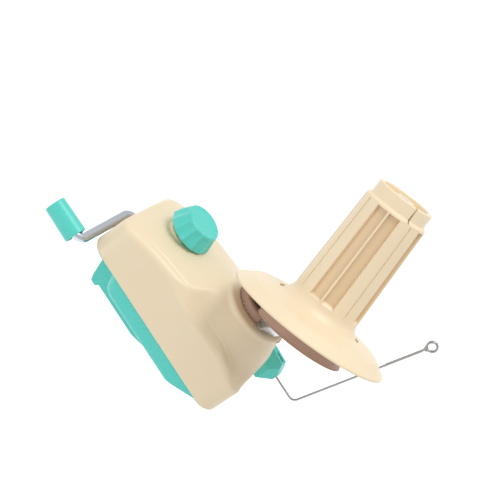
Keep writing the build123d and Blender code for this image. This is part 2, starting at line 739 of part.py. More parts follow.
# large ring under the flange
drum_low_r = (rim_distance - drum_low_h) * tan(drum_half)
drum_mid_r = (rim_distance - drum_band_low) * tan(drum_half)
drum_in_r = drum_low_r - drum_wall
under_slope = (flange_in - band_in_h) / (band_in_r - tube_in_r)
seat_in_h = flange_in - (drum_in_r - tube_in_r) * under_slope
seat_out_h = flange_in - (drum_mid_r - tube_in_r) * under_slope
drum_form = turned([(drum_in_r, drum_low_h), (drum_low_r, drum_low_h), (drum_mid_r, drum_band_low),
                    (drum_mid_r, seat_out_h), (drum_in_r, seat_in_h)])
drum_cuts = []
for n in range(drum_notches):
    cutter = block(drum_mid_r - drum_notch_depth, drum_mid_r + 1, -drum_notch_width / 2,
                   drum_notch_width / 2, drum_band_high - drum_notch_rise, drum_band_high)
    drum_cuts.append(Rot(0, 0, n * 360 / drum_notches) * cutter)
cone_ring = cone_frame.location * (drum_form - drum_cuts)

# clamp: knob, screw and washer
knob_form = turned([(0, 0), (knob_r - 1.2, 0), (knob_r, 1.2), (knob_r - 0.5, 4),
                    (knob_top_r + knob_edge, knob_height - knob_edge), (knob_top_r, knob_height),
                    (knob_top_r - 1.2, knob_height), (knob_top_r - 2.2, knob_height - 1),
                    (0, knob_height - 0.5)])
for n in range(knob_flutes):
    lean_out = degrees(atan((knob_r - knob_top_r) / knob_height))
    scoop = Rot(0, 0, n * 360 / knob_flutes) * (Pos(knob_r + flute_r - 0.9, 0, -2)
                                                * (Rot(0, -lean_out, 0) * rod(flute_r, 0, knob_height + 1.2)))
    knob_form = knob_form - scoop
knob_form = knob_form - rod(sleeve_nut_r, -1, sleeve_nut_grip)
clamp_knob = Pos(clamp_x, 0, knob_low_z) * knob_form
sleeve_nut = Pos(clamp_x, 0, 0) * ring(sleeve_nut_r, screw_r + run_clear, sleeve_nut_low_z,
                                       knob_low_z + sleeve_nut_grip)
knob_washer_part = Pos(clamp_x, 0, 0) * ring(knob_washer_r, sleeve_nut_r, knob_collar_top + run_clear,
                                             knob_collar_top + run_clear + knob_washer)
sleeve_clip = Pos(clamp_x, 0, 0) * ring(sleeve_clip_r, sleeve_nut_r, knob_collar_low - run_clear - clip_thick,
                                        knob_collar_low - run_clear)
clamp_screw = Pos(clamp_x, 0, 0) * (rod(screw_r, screw_low_z, screw_high_z)
                                    + rod(screw_head_r, screw_low_z, screw_low_z + screw_head))

# jaw: plate, slanted heel and guide tongue in one moulding
heel_in_x = jaw_heel_x - heel_lean + heel_length + 3
jaw_low_z = jaw_top_z - jaw_thick
heel_side = Polyline((jaw_tip_x, 0, jaw_top_z), (heel_in_x + 3, 0, jaw_top_z),
                     (heel_in_x, 0, heel_top_z), (jaw_heel_x - heel_lean, 0, heel_top_z),
                     (jaw_heel_x, 0, heel_low_z + 3), (jaw_heel_x + 2, 0, heel_low_z),
                     (jaw_heel_x + 6.3, 0, heel_low_z), (jaw_heel_x + 7.8, 0, jaw_low_z),
                     (jaw_tip_x - 12, 0, jaw_low_z), (jaw_tip_x, 0, jaw_top_z - 3),
                     close=True)
jaw_body = Pos(0, jaw_width / 2, 0) * extrude(make_face(heel_side), jaw_width, dir=(0, -1, 0))
tongue = block(tongue_x, tongue_x + tongue_thick, tongue_y - tongue_width / 2,
               tongue_y + tongue_width / 2, heel_top_z - 1, tongue_top_z)
clamp_jaw = jaw_body + tongue
clamp_jaw = clamp_jaw + Pos(clamp_x, 0, 0) * rod(screw_head_r + 2, screw_low_z, jaw_top_z - 1)
clamp_jaw = clamp_jaw - Pos(clamp_x, 0, 0) * rod(screw_head_r, screw_low_z - 1, screw_low_z + screw_head)
clamp_jaw = clamp_jaw - Pos(clamp_x, 0, 0) * rod(screw_r, screw_low_z, jaw_top_z + 20)
pad_x = jaw_tip_x - 2 - pad_length
pad_seat = jaw_top_z - pad_sink
pad_shape = block(pad_x, pad_x + pad_length, -pad_width / 2, pad_width / 2, pad_seat, pad_seat + pad_thick)
jaw_pad = pad_shape
clamp_jaw = clamp_jaw - pad_shape

# guide holder: a wedge on the front wall, with a slot on its ridge and two lobes below
nose = Polyline((holder_face_x - 12, 0, holder_top_z + 1), (holder_nose_x - 4.8, 0, holder_top_z - 1),
                (holder_nose_x, 0, holder_z + 2.7), (holder_nose_x, 0, holder_z - 2),
                (holder_nose_x - 7.8, 0, holder_low_z), (holder_face_x - 12, 0, holder_low_z), close=True)
holder_form = Pos(0, holder_y + holder_half, 0) * extrude(make_face(nose), 2 * holder_half, dir=(0, -1, 0))
plan = make_face(Polyline((holder_face_x - 20, holder_y - holder_half, 0),
                          (holder_nose_x - 7, holder_y - holder_half, 0), (holder_nose_x, holder_y - 2.6, 0),
                          (holder_nose_x, holder_y + 2.6, 0),
                          (holder_nose_x - 7, holder_y + holder_half, 0),
                          (holder_face_x - 20, holder_y + holder_half, 0), close=True))
holder_form = holder_form & extrude(plan, 80)
gable = make_face(Polyline((0, holder_y - holder_half, holder_low_z - 1), (0, holder_y - holder_half, holder_z + 3),
                           (0, holder_y - 2.6, holder_top_z + 1), (0, holder_y + 2.6, holder_top_z + 1),
                           (0, holder_y + holder_half, holder_z + 3),
                           (0, holder_y + holder_half, holder_low_z - 1), close=True))
holder_form = holder_form & extrude(gable, 80, dir=(1, 0, 0))
holder_form = holder_form - Pos(0, 0, parting_z) * extrude(plan_face(0), 80)
lobe_gap = Pos(holder_nose_x - 6, holder_y, holder_low_z - 1) * (Rot(0, -35, 0) * rod(2.2, -6, 9))
ridge_slot = block(holder_nose_x - 13, holder_nose_x - 6, holder_y - holder_slot / 2,
                   holder_y + holder_slot / 2, holder_top_z - 4, holder_top_z + 2)
holder_form = holder_form - lobe_gap - ridge_slot
holder_peg = along_x(rod(peg_r, -2, 3), holder_face_x, holder_y, holder_z)
guide_holder = holder_form + holder_peg
wire_start = holder_nose_x - wire_depth
guide_holder = guide_holder - along_x(rod(wire_r + run_clear, 0, 40), wire_start, holder_y, holder_z)

# guide wire: spring steel, bent up to a coiled eye
eye_top = Vector(eye_x, eye_y, eye_z)
elbow = Vector(wire_bend_x, holder_y, holder_z)
rise = (eye_top - elbow).normalized()
wire_path = FilletPolyline((wire_start, holder_y, holder_z), elbow, eye_top, radius=wire_bend_r)
wire_disc = Plane(origin=(wire_start, holder_y, holder_z), z_dir=(1, 0, 0)) * Circle(wire_r)
guide_stem = sweep(wire_disc, path=wire_path)
eye_axis = Vector(0.2, -0.88, 0.43).cross(rise).cross(rise).normalized()
eye_out = eye_axis.cross(rise)
eye_plane = Plane(origin=eye_top + rise * eye_r, z_dir=eye_axis, x_dir=rise)
eye_turns = [eye_plane.location * Pos(0, 0, side * turn_pitch / 2) * Torus(eye_r, wire_r) for side in (-1, 1)]
tail_foot = eye_top - rise * eye_tail + eye_axis * turn_pitch
eye_end = Plane(origin=tail_foot, z_dir=rise).location * rod(wire_r, 0, eye_tail)
guide_wire = guide_stem + eye_turns + [eye_end]

pieces = {
    "top_cover": top_cover, "base_tray": base_tray, "cover_screws": cover_screws,
    "crank_bush": crank_bush, "pedestal_bush": pedestal_bush, "crank_rod": crank_rod,
    "crank_gear": crank_gear, "crank_clip": crank_clip, "crank_grip": crank_grip,
    "grip_cap": grip_cap, "grip_clip": grip_clip, "idler_gear": idler_gear,
    "idler_axle": idler_axle, "fixed_post": fixed_post, "spindle_sleeve": spindle_sleeve,
    "spindle_pinion": spindle_pinion, "neck_bush": neck_bush, "neck_ring": neck_ring,
    "sun_roller": sun_roller, "post_nut": post_nut, "bracket": bracket, "bracket_nut": bracket_nut,
    "cone_pin": cone_pin, "winding_cone": winding_cone, "cone_cap": cone_cap, "cone_ring": cone_ring,
    "clamp_knob": clamp_knob, "sleeve_nut": sleeve_nut, "knob_washer": knob_washer_part,
    "sleeve_clip": sleeve_clip, "knob_collar": knob_collar, "clamp_jaw": clamp_jaw, "clamp_screw": clamp_screw, "jaw_pad": jaw_pad,
    "guide_holder": guide_holder, "guide_wire": guide_wire,
}
for name, piece in pieces.items():
    export_step(piece, "parts/" + name + ".step")
print("rim centre", rim_centre, "cone direction", cone_dir)
print("half angles", degrees(small_half), degrees(drum_half))
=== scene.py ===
# %% [markdown]
# # A yarn cone winder
# This scene dresses a hand-cranked yarn winder: a cream housing on a teal base, a fluted cone that leans
# over the housing on its wide flange, two brown rings, and a wire guide that ends in an eye. The packed
# CAD model comes in first and never moves, so every piece that is made here is placed in the same frame.

# %% Load the frame
import json
from math import acos, ceil, cos, exp, hypot, pi, radians, sin, sqrt, tan

import bmesh
import bpy
from mathutils import Matrix, Vector


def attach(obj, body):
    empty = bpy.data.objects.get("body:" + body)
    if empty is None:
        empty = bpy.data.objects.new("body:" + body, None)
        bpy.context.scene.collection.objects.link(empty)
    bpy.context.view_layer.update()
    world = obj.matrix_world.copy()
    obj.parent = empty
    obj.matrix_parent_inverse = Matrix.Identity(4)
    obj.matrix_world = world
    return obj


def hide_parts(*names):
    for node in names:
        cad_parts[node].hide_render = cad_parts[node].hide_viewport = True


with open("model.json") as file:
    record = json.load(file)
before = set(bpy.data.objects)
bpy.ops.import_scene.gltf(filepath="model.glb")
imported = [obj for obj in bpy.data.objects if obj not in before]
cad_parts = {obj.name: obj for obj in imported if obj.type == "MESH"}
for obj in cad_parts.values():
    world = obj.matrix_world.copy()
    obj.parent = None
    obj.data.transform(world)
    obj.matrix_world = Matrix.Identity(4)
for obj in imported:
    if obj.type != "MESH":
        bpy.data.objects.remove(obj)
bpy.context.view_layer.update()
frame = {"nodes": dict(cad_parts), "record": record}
nodes = frame["nodes"]

# %% [markdown]
# ## The camera
# The photograph was taken from far away with a long lens, a little above the table, with the camera
# rolled so that the crank end is at the upper left. Three directions say all of it: where the picture's
# right, the picture's up and the viewer lie in the object's frame.

# %% Camera
PICTURE_RIGHT = Vector((0.55069, 0.40210, 0.73148))
PICTURE_UP = Vector((-0.83424, 0.23584, 0.49842))
TO_VIEWER = Vector((0.02790, -0.88470, 0.46532))
CAMERA_PLACE = Vector((0.009286, -1.381355, 0.811597))
PICTURE_PIXELS, FOCAL_PIXELS, SENSOR_MM = 500, 2400.0, 36.0

camera_data = bpy.data.cameras.new("photo_camera")
camera_data.sensor_width = SENSOR_MM
camera_data.lens = FOCAL_PIXELS / PICTURE_PIXELS * SENSOR_MM
camera_data.clip_end = 50.0
camera = bpy.data.objects.new("photo_camera", camera_data)
camera_turn = Matrix((PICTURE_RIGHT, PICTURE_UP, TO_VIEWER)).transposed().to_4x4()
camera.matrix_world = Matrix.Translation(CAMERA_PLACE) @ camera_turn
bpy.context.scene.collection.objects.link(camera)
bpy.context.scene.camera = camera
print("camera lens", round(camera_data.lens, 1), "mm")

# %% [markdown]
# ## Node maths as plain expressions
# A material is a small recipe of noises and sums, and so is a rule that shapes a mesh. One class wraps a
# socket and overloads the operators, so that a recipe reads like arithmetic. The same class serves both
# kinds of tree, because Blender's Math node works in both.

# %% Wires
class Wire:
    def __init__(self, owner, socket):
        self.owner = owner
        self.socket = socket

    def __add__(self, other):
        return self.owner.math("ADD", self, other)

    def __radd__(self, other):
        return self.owner.math("ADD", other, self)

    def __sub__(self, other):
        return self.owner.math("SUBTRACT", self, other)

    def __rsub__(self, other):
        return self.owner.math("SUBTRACT", other, self)

    def __mul__(self, other):
        return self.owner.math("MULTIPLY", self, other)

    def __rmul__(self, other):
        return self.owner.math("MULTIPLY", other, self)

    def __truediv__(self, other):
        return self.owner.math("DIVIDE", self, other)

    def __rtruediv__(self, other):
        return self.owner.math("DIVIDE", other, self)

    def __gt__(self, other):
        return self.owner.math("GREATER_THAN", self, other)

    def __lt__(self, other):
        return self.owner.math("LESS_THAN", self, other)

    def least(self, other):
        return self.owner.math("MINIMUM", self, other)

    def most(self, other):
        return self.owner.math("MAXIMUM", self, other)

    def clamped(self, low, high):
        return self.most(low).least(high)


print("wires ready")

# %% [markdown]
# ## Nodes from one method
# Every node comes from one method. It takes the node's type, its settings, and the values or wires of
# its sockets, in order or by name, and gives its output back as a wire. The Math nodes behind the
# operators above come from it too.

# %% Trees
class Tree:
    def set(self, socket, value):
        if isinstance(value, Wire):
            self.tree.links.new(value.socket, socket)
        elif isinstance(value, (tuple, list, Vector)) and len(value) == 3 and socket.type == "RGBA":
            socket.default_value = (*value, 1.0)
        else:
            socket.default_value = value

    def node(self, kind, settings, *values, out=0, **named):
        made = self.tree.nodes.new(kind)
        for key, value in settings.items():
            setattr(made, key, value)
        for socket, value in zip(made.inputs, values):
            if value is not None:
                self.set(socket, value)
        for key, value in named.items():
            self.set(made.inputs[key.replace("_", " ")], value)
        return Wire(self, made.outputs[out])

    def math(self, operation, *values):
        return self.node("ShaderNodeMath", {"operation": operation}, *values)

    def parts(self, vector):
        made = self.node("ShaderNodeSeparateXYZ", {}, vector).socket.node
        return [Wire(self, socket) for socket in made.outputs]


print("node helpers ready")

# %% [markdown]
# ## A finish
# Every finish starts from the same shader. The Bevel node rounds what the light sees of each edge by a
# few tenths of a millimetre, as on any moulded or stamped piece. That costs no geometry, and it works on
# the CAD's own triangles. Patterns read Object coordinates, so they stay on a piece when it turns.

# %% Finish class
MOULD_EDGE = 0.00035


class Finish(Tree):
    def __init__(self, name):
        self.material = bpy.data.materials.new(name)
        self.material.use_nodes = True
        self.tree = self.material.node_tree
        self.tree.nodes.clear()
        self.shader = self.tree.nodes.new("ShaderNodeBsdfPrincipled")
        out = self.tree.nodes.new("ShaderNodeOutputMaterial")
        self.tree.links.new(self.shader.outputs[0], out.inputs[0])

    def place(self, scale):
        raw = self.node("ShaderNodeTexCoord", {}, out=3)
        return self.node("ShaderNodeMapping", {}, raw, Scale=Vector(scale))

    def noise(self, scale, detail=2.0, stretch=(1, 1, 1)):
        return self.node("ShaderNodeTexNoise", {}, Vector=self.place(stretch), Scale=scale, Detail=detail)

    def mix(self, factor, first, second):
        made = self.node("ShaderNodeMix", {"data_type": "RGBA"}, out=2).socket.node
        for index, value in ((0, factor), (6, first), (7, second)):
            self.set(made.inputs[index], value)
        return Wire(self, made.outputs[2])

    def skin(self, height, strength, distance, edge=MOULD_EDGE):
        rounded = self.node("ShaderNodeBevel", {"samples": 6}, edge)
        return self.node("ShaderNodeBump", {}, Strength=strength, Distance=distance, Height=height,
                         Normal=rounded)

    def give(self, **sockets):
        for key, value in sockets.items():
            self.set(self.shader.inputs[key.replace("_", " ")], value)
        return self.material


def srgb(r, g, b):
    return tuple(c / 255 / 12.92 if c <= 10 else ((c / 255 + 0.055) / 1.055) ** 2.4 for c in (r, g, b))


print("finish class ready")

# %% [markdown]
# ## Moulded plastic
# The housing, base and cone are injection mouldings. Real ones are never one flat colour: the pigment
# clouds a little, the gloss changes where the mould was polished less, and the skin has a very fine
# orange peel. Each of these is one noise at its own scale, counted in waves to the metre.

# %% Plastic finishes
CLOUD, POLISH, PEEL, SPECK = 28.0, 60.0, 420.0, 900.0


def moulded(name, colour, deep, gloss, peel=0.06, painted_shade=None):
    finish = Finish(name)
    cloud = finish.noise(CLOUD, 3.0)
    tint = finish.mix((cloud - 0.35).clamped(0.0, 1.0) * 0.7, srgb(*colour), srgb(*deep))
    # An optional function adds painted shade to the tint; only the cone uses it.
    if painted_shade:
        tint = painted_shade(finish, tint)
    speck = finish.noise(SPECK)
    rough = gloss + (finish.noise(POLISH, 3.0) - 0.5) * 0.10 + (speck - 0.5) * 0.06
    grain = finish.noise(PEEL) * 0.7 + speck * 0.3
    return finish.give(Base_Color=tint, Roughness=rough.clamped(0.05, 0.9),
                       Normal=finish.skin(grain, strength=peel, distance=0.0004), IOR=1.5)


cream = moulded("cream_moulding", (240, 222, 190), (232, 210, 174), gloss=0.34)
teal = moulded("teal_moulding", (88, 212, 200), (70, 200, 188), gloss=0.28)
brown = moulded("brown_moulding", (176, 142, 124), (152, 118, 102), gloss=0.45, peel=0.12)
gear_white = moulded("gear_moulding", (226, 220, 205), (214, 206, 190), gloss=0.40)
rubber = moulded("pad_rubber", (58, 58, 60), (46, 46, 48), gloss=0.65, peel=0.25)
print("plastics made")

# %% [markdown]
# ## Plated steel and brass
# The crank, the guide wire and the bracket are zinc or nickel plated. Metal is read from its
# reflections, so its roughness carries the detail: soft clouds from the plating bath and fine lines
# left by drawing the wire or rolling the strip.

# %% Metal finishes
def plated(name, colour, gloss, lines, stretch=(1, 1, 1)):
    finish = Finish(name)
    cloud = finish.noise(55.0, 3.0)
    drawn = finish.noise(lines, 2.0, stretch)
    rough = gloss + (cloud - 0.5) * 0.12 + (drawn - 0.5) * 0.10
    tint = finish.mix(cloud * 0.35, srgb(*colour), srgb(*[int(c * 0.86) for c in colour]))
    return finish.give(Base_Color=tint, Roughness=rough.clamped(0.06, 0.8), Metallic=1.0,
                       Normal=finish.skin(drawn, strength=0.05, distance=0.0002, edge=0.0002))


rod_steel = plated("rod_plating", (206, 212, 222), gloss=0.22, lines=300.0)
wire_steel = plated("wire_plating", (168, 166, 166), gloss=0.26, lines=700.0)
strip_steel = plated("strip_plating", (214, 219, 226), gloss=0.30, lines=500.0, stretch=(0.12, 1, 1))
brass = plated("bush_brass", (201, 166, 96), gloss=0.30, lines=400.0, stretch=(1, 1, 0.2))
print("metals made")

# %% [markdown]
# ## The pieces that keep their CAD shape
# Gears, bushes, screws, the base, the jaw and the brown rings have the right shape already. Only their
# material changes. The record says which slot each node takes its finish from, so one table from slot to
# material dresses them all. The nodes that are replaced later are dressed too, and then hidden.

# %% Dress the carried-over nodes
BY_SLOT = {"cream": cream, "teal": teal, "brown": brown, "gear_white": gear_white,
           "rod_steel": rod_steel, "plate_steel": strip_steel, "brass": brass, "pad": rubber}
slots = {part["node"]: part["material_slot"] for part in frame["record"]["subparts"]}
for name, piece in nodes.items():
    piece.data.materials.clear()
    piece.data.materials.append(BY_SLOT[slots[name]])
print("dressed", len(nodes), "nodes")

# %% [markdown]
# ## Turned shapes
# The knob, the grip, the cone and the rings are round about an axis. A turned shape is a profile of
# radius and height, carried round the axis. Moulded corners are never knife sharp, so each corner of the
# profile is first replaced by a short curve, which takes at most a part of the sides that meet there.

# %% Profiles and turning
MOST_OF_A_SIDE, STAYS_SHARP = 0.45, 0.01


def softened(points, radius, steps=4):
    radii = radius if isinstance(radius, (list, tuple)) else [radius] * len(points)
    curve = []
    for n, here in enumerate(points):
        here = Vector(here)
        back = Vector(points[n - 1]) - here
        ahead = Vector(points[(n + 1) % len(points)]) - here
        reach = min(radii[n], MOST_OF_A_SIDE * back.length, MOST_OF_A_SIDE * ahead.length)
        if reach < STAYS_SHARP:
            curve.append(tuple(here))
            continue
        start = here + back.normalized() * reach
        end = here + ahead.normalized() * reach
        for step in range(steps + 1):
            t = step / steps
            curve.append(tuple(start * (1 - t) ** 2 + here * 2 * t * (1 - t) + end * t ** 2))
    return curve


def turned(profile, turns=96):
    angles = turns if isinstance(turns, list) else [2 * pi * n / turns for n in range(turns)]
    points = [(r * cos(a), r * sin(a), h) for r, h in profile for a in angles]
    wide, high = len(angles), len(profile)
    faces = [(i * wide + j, i * wide + (j + 1) % wide, (i + 1) % high * wide + (j + 1) % wide,
              (i + 1) % high * wide + j) for i in range(high) for j in range(wide)]
    return points, faces


def joined(*shapes):
    points, faces = [], []
    for more_points, more_faces in shapes:
        faces += [tuple(n + len(points) for n in face) for face in more_faces]
        points += more_points
    return points, faces


print("turning ready")

# %% [markdown]
# ## From points to a finished piece
# Lengths are in millimetres, as on a drawing, and become metres when the mesh is made. A finished mesh
# has its doubled points merged, its faces pointing outwards and its sharp edges marked. Its object
# stays at the origin, with its place in the mesh, and it rides on the body that it belongs to.

# %% Mesh making
MM = 0.001
SAME_POINT, NO_LENGTH = 0.004 * MM, 0.002 * MM


def new_object(name, points, faces, finish, place=None):
    mesh = bpy.data.meshes.new(name)
    mesh.from_pydata([Vector(p) * MM for p in points], [], faces)
    if place is not None:
        mesh.transform(place)
    mesh.materials.append(finish)
    made = bpy.data.objects.new(name, mesh)
    bpy.context.scene.collection.objects.link(made)
    return made


def cleaned(made, sharp_deg=32.0):
    shell = bmesh.new()
    shell.from_mesh(made.data)
    bmesh.ops.remove_doubles(shell, verts=shell.verts, dist=SAME_POINT)
    bmesh.ops.dissolve_degenerate(shell, edges=shell.edges, dist=NO_LENGTH)
    bmesh.ops.recalc_face_normals(shell, faces=shell.faces)
    shell.to_mesh(made.data)
    shell.free()
    made.data.shade_smooth()
    made.data.set_sharp_from_angle(angle=radians(sharp_deg))
    return made


def as_mesh(made):
    return bpy.data.meshes.new_from_object(made.evaluated_get(bpy.context.evaluated_depsgraph_get()))


def settled(made):
    result = as_mesh(made)
    made.modifiers.clear()
    made.data = result
    return made


def placed(made, body, slot, *stands_for):
    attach(made, body)
    if stands_for:
        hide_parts(*stands_for)
    print(made.name, len(made.data.vertices), "points, rides on", body)
    return made


print("mesh helpers ready")

# %% [markdown]
# ## Rules that shape a mesh
# Panels on the knob, flats on the grip and flutes on the cone all repeat round an axis. Geometry Nodes
# suits that: a turned mesh comes in, a rule reads each point's angle and height, and the point moves in
# or out. The rule's sizes are named inputs of the group, in degrees and millimetres. The result is made
# a plain mesh at once, because the export needs one.

# %% Shaping group
class Shaper(Tree):
    def __init__(self, name, sizes):
        self.tree = bpy.data.node_groups.new(name, "GeometryNodeTree")
        face = self.tree.interface
        face.new_socket("Geometry", in_out="INPUT", socket_type="NodeSocketGeometry")
        face.new_socket("Geometry", in_out="OUTPUT", socket_type="NodeSocketGeometry")
        self.values = {}
        for key, value in sizes.items():
            size = face.new_socket(key, in_out="INPUT", socket_type="NodeSocketFloat")
            self.values[size.identifier] = value
        entry = self.tree.nodes.new("NodeGroupInput")
        self.entry = entry.outputs[0]
        self.size = {key: Wire(self, entry.outputs[key]) for key in sizes}
        here = self.node("GeometryNodeInputPosition", {})
        self.x, self.y, self.h = [axis / MM for axis in self.parts(here)]
        self.r = self.math("SQRT", self.x * self.x + self.y * self.y)
        self.turn = self.math("ARCTAN2", self.y, self.x) * (180 / pi)

    def fold(self, angle, step):
        wrapped = self.math("FLOORED_MODULO", angle, step)
        return wrapped.least(step - wrapped)

    def shape(self, made, radius, finish):
        scale = radius / self.r.most(0.001) * MM
        spot = self.node("ShaderNodeCombineXYZ", {}, self.x * scale, self.y * scale, self.h * MM)
        moved = self.node("GeometryNodeSetPosition", {}, Wire(self, self.entry), Position=spot)
        real = self.node("GeometryNodeRealizeInstances", {}, moved)
        dressed = self.node("GeometryNodeSetMaterial", {}, real, Material=finish)
        exit_node = self.tree.nodes.new("NodeGroupOutput")
        self.set(exit_node.inputs[0], dressed)
        modifier = made.modifiers.new(self.tree.name, "NODES")
        modifier.node_group = self.tree
        for identifier, value in self.values.items():
            modifier[identifier] = value
        return settled(made)


print("shaper ready")

# %% [markdown]
# ## The housing's plan
# Seen from above the cover is a four-cornered plan with rounded corners, and its front wall slants. The
# outline is walked in steps of about 1.6 mm, and each step keeps its outward direction, so that the wall
# above it can lean in and curl over. The skirt ends a little below the solid cover's edge, and so hides
# the thin rim of the base, as in the photograph.

# %% Plan outline
BACK_X, NEAR_FRONT_X, FAR_FRONT_X, HALF_WIDTH = -95.6, 41.5, 24.0, 43.0
SKIRT_Z = 13.4
OUTLINE_STEP, FEWEST_ARC_STEPS = 1.6, 10
CORNERS = [(BACK_X, -HALF_WIDTH, 13.0), (NEAR_FRONT_X, -HALF_WIDTH, 12.0),
           (FAR_FRONT_X, HALF_WIDTH, 9.0), (BACK_X, HALF_WIDTH, 13.0)]


def plan_outline():
    arcs = []
    for n, (x, y, r) in enumerate(CORNERS):
        here = Vector((x, y))
        back = (Vector(CORNERS[n - 1][:2]) - here).normalized()
        ahead = (Vector(CORNERS[(n + 1) % 4][:2]) - here).normalized()
        half = acos(back.dot(ahead)) / 2
        centre = here + (back + ahead).normalized() * (r / sin(half))
        first = here + back * (r / tan(half)) - centre
        last = here + ahead * (r / tan(half)) - centre
        count = max(FEWEST_ARC_STEPS, ceil(r * (pi - 2 * half) / OUTLINE_STEP))
        swing = first.angle_signed(last)
        arcs.append([(centre, Matrix.Rotation(-swing * k / count, 2) @ first) for k in range(count + 1)])
    walked = []
    for n, arc in enumerate(arcs):
        walked += [(centre + spoke, spoke.normalized()) for centre, spoke in arc]
        start = arc[-1][0] + arc[-1][1]
        end = arcs[(n + 1) % 4][0][0] + arcs[(n + 1) % 4][0][1]
        count = ceil((end - start).length / OUTLINE_STEP)
        walked += [(start.lerp(end, k / count), arc[-1][1].normalized()) for k in range(1, count)]
    return walked


outline = plan_outline()
print("outline has", len(outline), "steps")

# %% [markdown]
# ## Soft steps, tables and joins
# Three small functions shape the roof. One eases from 0 to 1, one reads a table of places and values,
# and one gives the lower of two heights with a rounded valley or crest where they cross.

# %% Blending
def eased(low, high, value):
    t = min(1.0, max(0.0, (value - low) / (high - low)))
    return t * t * (3 - 2 * t)


def between(table, x):
    if x <= table[0][0] or x >= table[-1][0]:
        return table[0][1] if x <= table[0][0] else table[-1][1]
    for (x0, v0), (x1, v1) in zip(table, table[1:]):
        if x <= x1:
            return v0 + (v1 - v0) * eased(x0, x1, x) * 0.35 + (v1 - v0) * 0.65 * (x - x0) / (x1 - x0)


def lower(a, b, soft):
    mix = min(1.0, max(0.0, 0.5 + 0.5 * (b - a) / soft))
    return b + (a - b) * mix - soft * mix * (1 - mix)


print("half way up an eased step:", eased(0, 1, 0.5))

# %% [markdown]
# ## The cover's roof
# The roof is the piece's character. It falls away to the sides and ends, rises in a wide saddle to the
# round neck, and scoops down between the neck and a ridge along the near edge. Behind that ridge's
# start the near wall leans in and meets the saddle in a long S-shaped crest. Writing the height as a
# function of the place on the plan lets every one of these run into the next without a seam.

# %% Roof height
NECK_R, NECK_Z, LIP_DROP = 25.5, 66.8, 2.6
DECK_Z, SIDE_FALL = 52.5, 5.5
REAR_FALL, REAR_FROM, REAR_RUN = 7.0, -44.0, 42.0
FRONT_FALL, FRONT_FROM, FRONT_RUN = 11.0, 6.0, 30.0
NECK_BLEND, REAR_BLEND_MORE = 6.0, 9.0
SCOOP_DEPTH, SCOOP_FROM, SCOOP_RUN = 3.0, 25.0, 22.0
NEAR_EDGE_Z, CREST_SOFT = 40.0, 5.0
# How steeply the near wall's top rises inwards, at places along the housing.
LEAN_AT = [(-70, 14.0), (-55, 6.0), (-44, 3.0), (-38, 1.9), (-33, 1.42), (-29, 1.14), (-26, 1.0),
           (-23, 0.96), (-19, 0.99), (-13, 1.12), (-7, 1.28), (0, 1.4), (10, 1.7), (20, 3.0), (30, 10.0)]


def saddle(x, y):
    rear = max(0.0, (REAR_FROM - x) / REAR_RUN)
    front = max(0.0, (x - FRONT_FROM) / FRONT_RUN)
    deck = DECK_Z - SIDE_FALL * (y / HALF_WIDTH) ** 2 - REAR_FALL * rear ** 2 - FRONT_FALL * front ** 2
    around = hypot(x, y)
    rearward = eased(0.55, 0.92, 0.5 - 0.5 * x / max(around, 1.0))
    blend = NECK_BLEND + REAR_BLEND_MORE * rearward
    across = min(1.0, max(0.0, (around - SCOOP_FROM) / SCOOP_RUN))
    scoop = SCOOP_DEPTH * (1 - rearward) * sin(pi * across) ** 2
    crown = NECK_Z - LIP_DROP
    return deck - scoop + (crown - deck) * exp(-max(0.0, around - NECK_R) / blend)


def near_wall(x, y):
    return NEAR_EDGE_Z + (y + HALF_WIDTH) * between(LEAN_AT, x)


def roof(x, y):
    return lower(saddle(x, y), near_wall(x, y), CREST_SOFT)


print("roof at the knob", round(roof(-66, 0), 1), "and at the near ridge", round(roof(0, -38), 1))

# %% [markdown]
# ## The cover's skin
# One sheet of quads runs from the skirt's foot up the wall, round the top edge, across the roof, up the
# neck and in over its lip. The outline gives one column of points for each of its steps, and the columns
# side by side are the sheet.

# %% Cover skin
WALL_TOP_Z, SIDE_DRAFT, WALL_RUN = 45.0, 2.5, 30
SKIRT_ROUNDING = [(0.45, 0.02), (0.12, 0.25), (0.0, 0.7)]
WALL_STEPS = (0.1, 0.3, 0.5, 0.7, 0.85, 0.95, 1)
EDGE_R, EDGE_SOFT, EDGE_STEPS = 6.5, 2.0, 12
RIM_GAP, ROOF_STEPS, ROOF_CROWDING = 0.2, 40, 1.35
LIP = [(25.35, -1.6), (25.0, -0.8), (24.4, -0.25), (23.5, -0.03), (22.4, 0), (18.5, 0), (12, 0), (7.6, 0)]


def skin_column(place, out):
    lean = SIDE_DRAFT * abs(out.y) / (WALL_TOP_Z - SKIRT_Z) * WALL_RUN
    inner = place - out * (lean + EDGE_R)
    top = saddle(inner.x, inner.y)

    def height(inset):
        past = min(EDGE_R, max(0.0, inset - lean))
        curl = top - EDGE_R + sqrt(EDGE_R ** 2 - (EDGE_R - past) ** 2)
        spot = place - out * inset
        curled = lower(saddle(spot.x, spot.y), curl, EDGE_SOFT)
        return lower(curled, near_wall(spot.x, spot.y), CREST_SOFT)

    wall_z = height(lean)
    column = [(inset, SKIRT_Z + z) for inset, z in SKIRT_ROUNDING]
    column += [(lean * t, SKIRT_Z + (wall_z - SKIRT_Z) * t) for t in WALL_STEPS]
    for k in range(1, EDGE_STEPS + 1):
        inset = lean + EDGE_R * (1 - cos(pi / 2 * k / EDGE_STEPS))
        column.append((inset, height(inset)))
    points = [(place.x - out.x * inset, place.y - out.y * inset, z) for inset, z in column]
    start = Vector(points[-1][:2])
    around = place.normalized()
    rim = around * (NECK_R + RIM_GAP)
    for k in range(1, ROOF_STEPS + 1):
        spot = start.lerp(rim, 1 - (1 - k / ROOF_STEPS) ** ROOF_CROWDING)
        points.append((spot.x, spot.y, roof(spot.x, spot.y) if k < ROOF_STEPS else NECK_Z - LIP_DROP))
    return points + [(around.x * r, around.y * r, NECK_Z + z) for r, z in LIP]


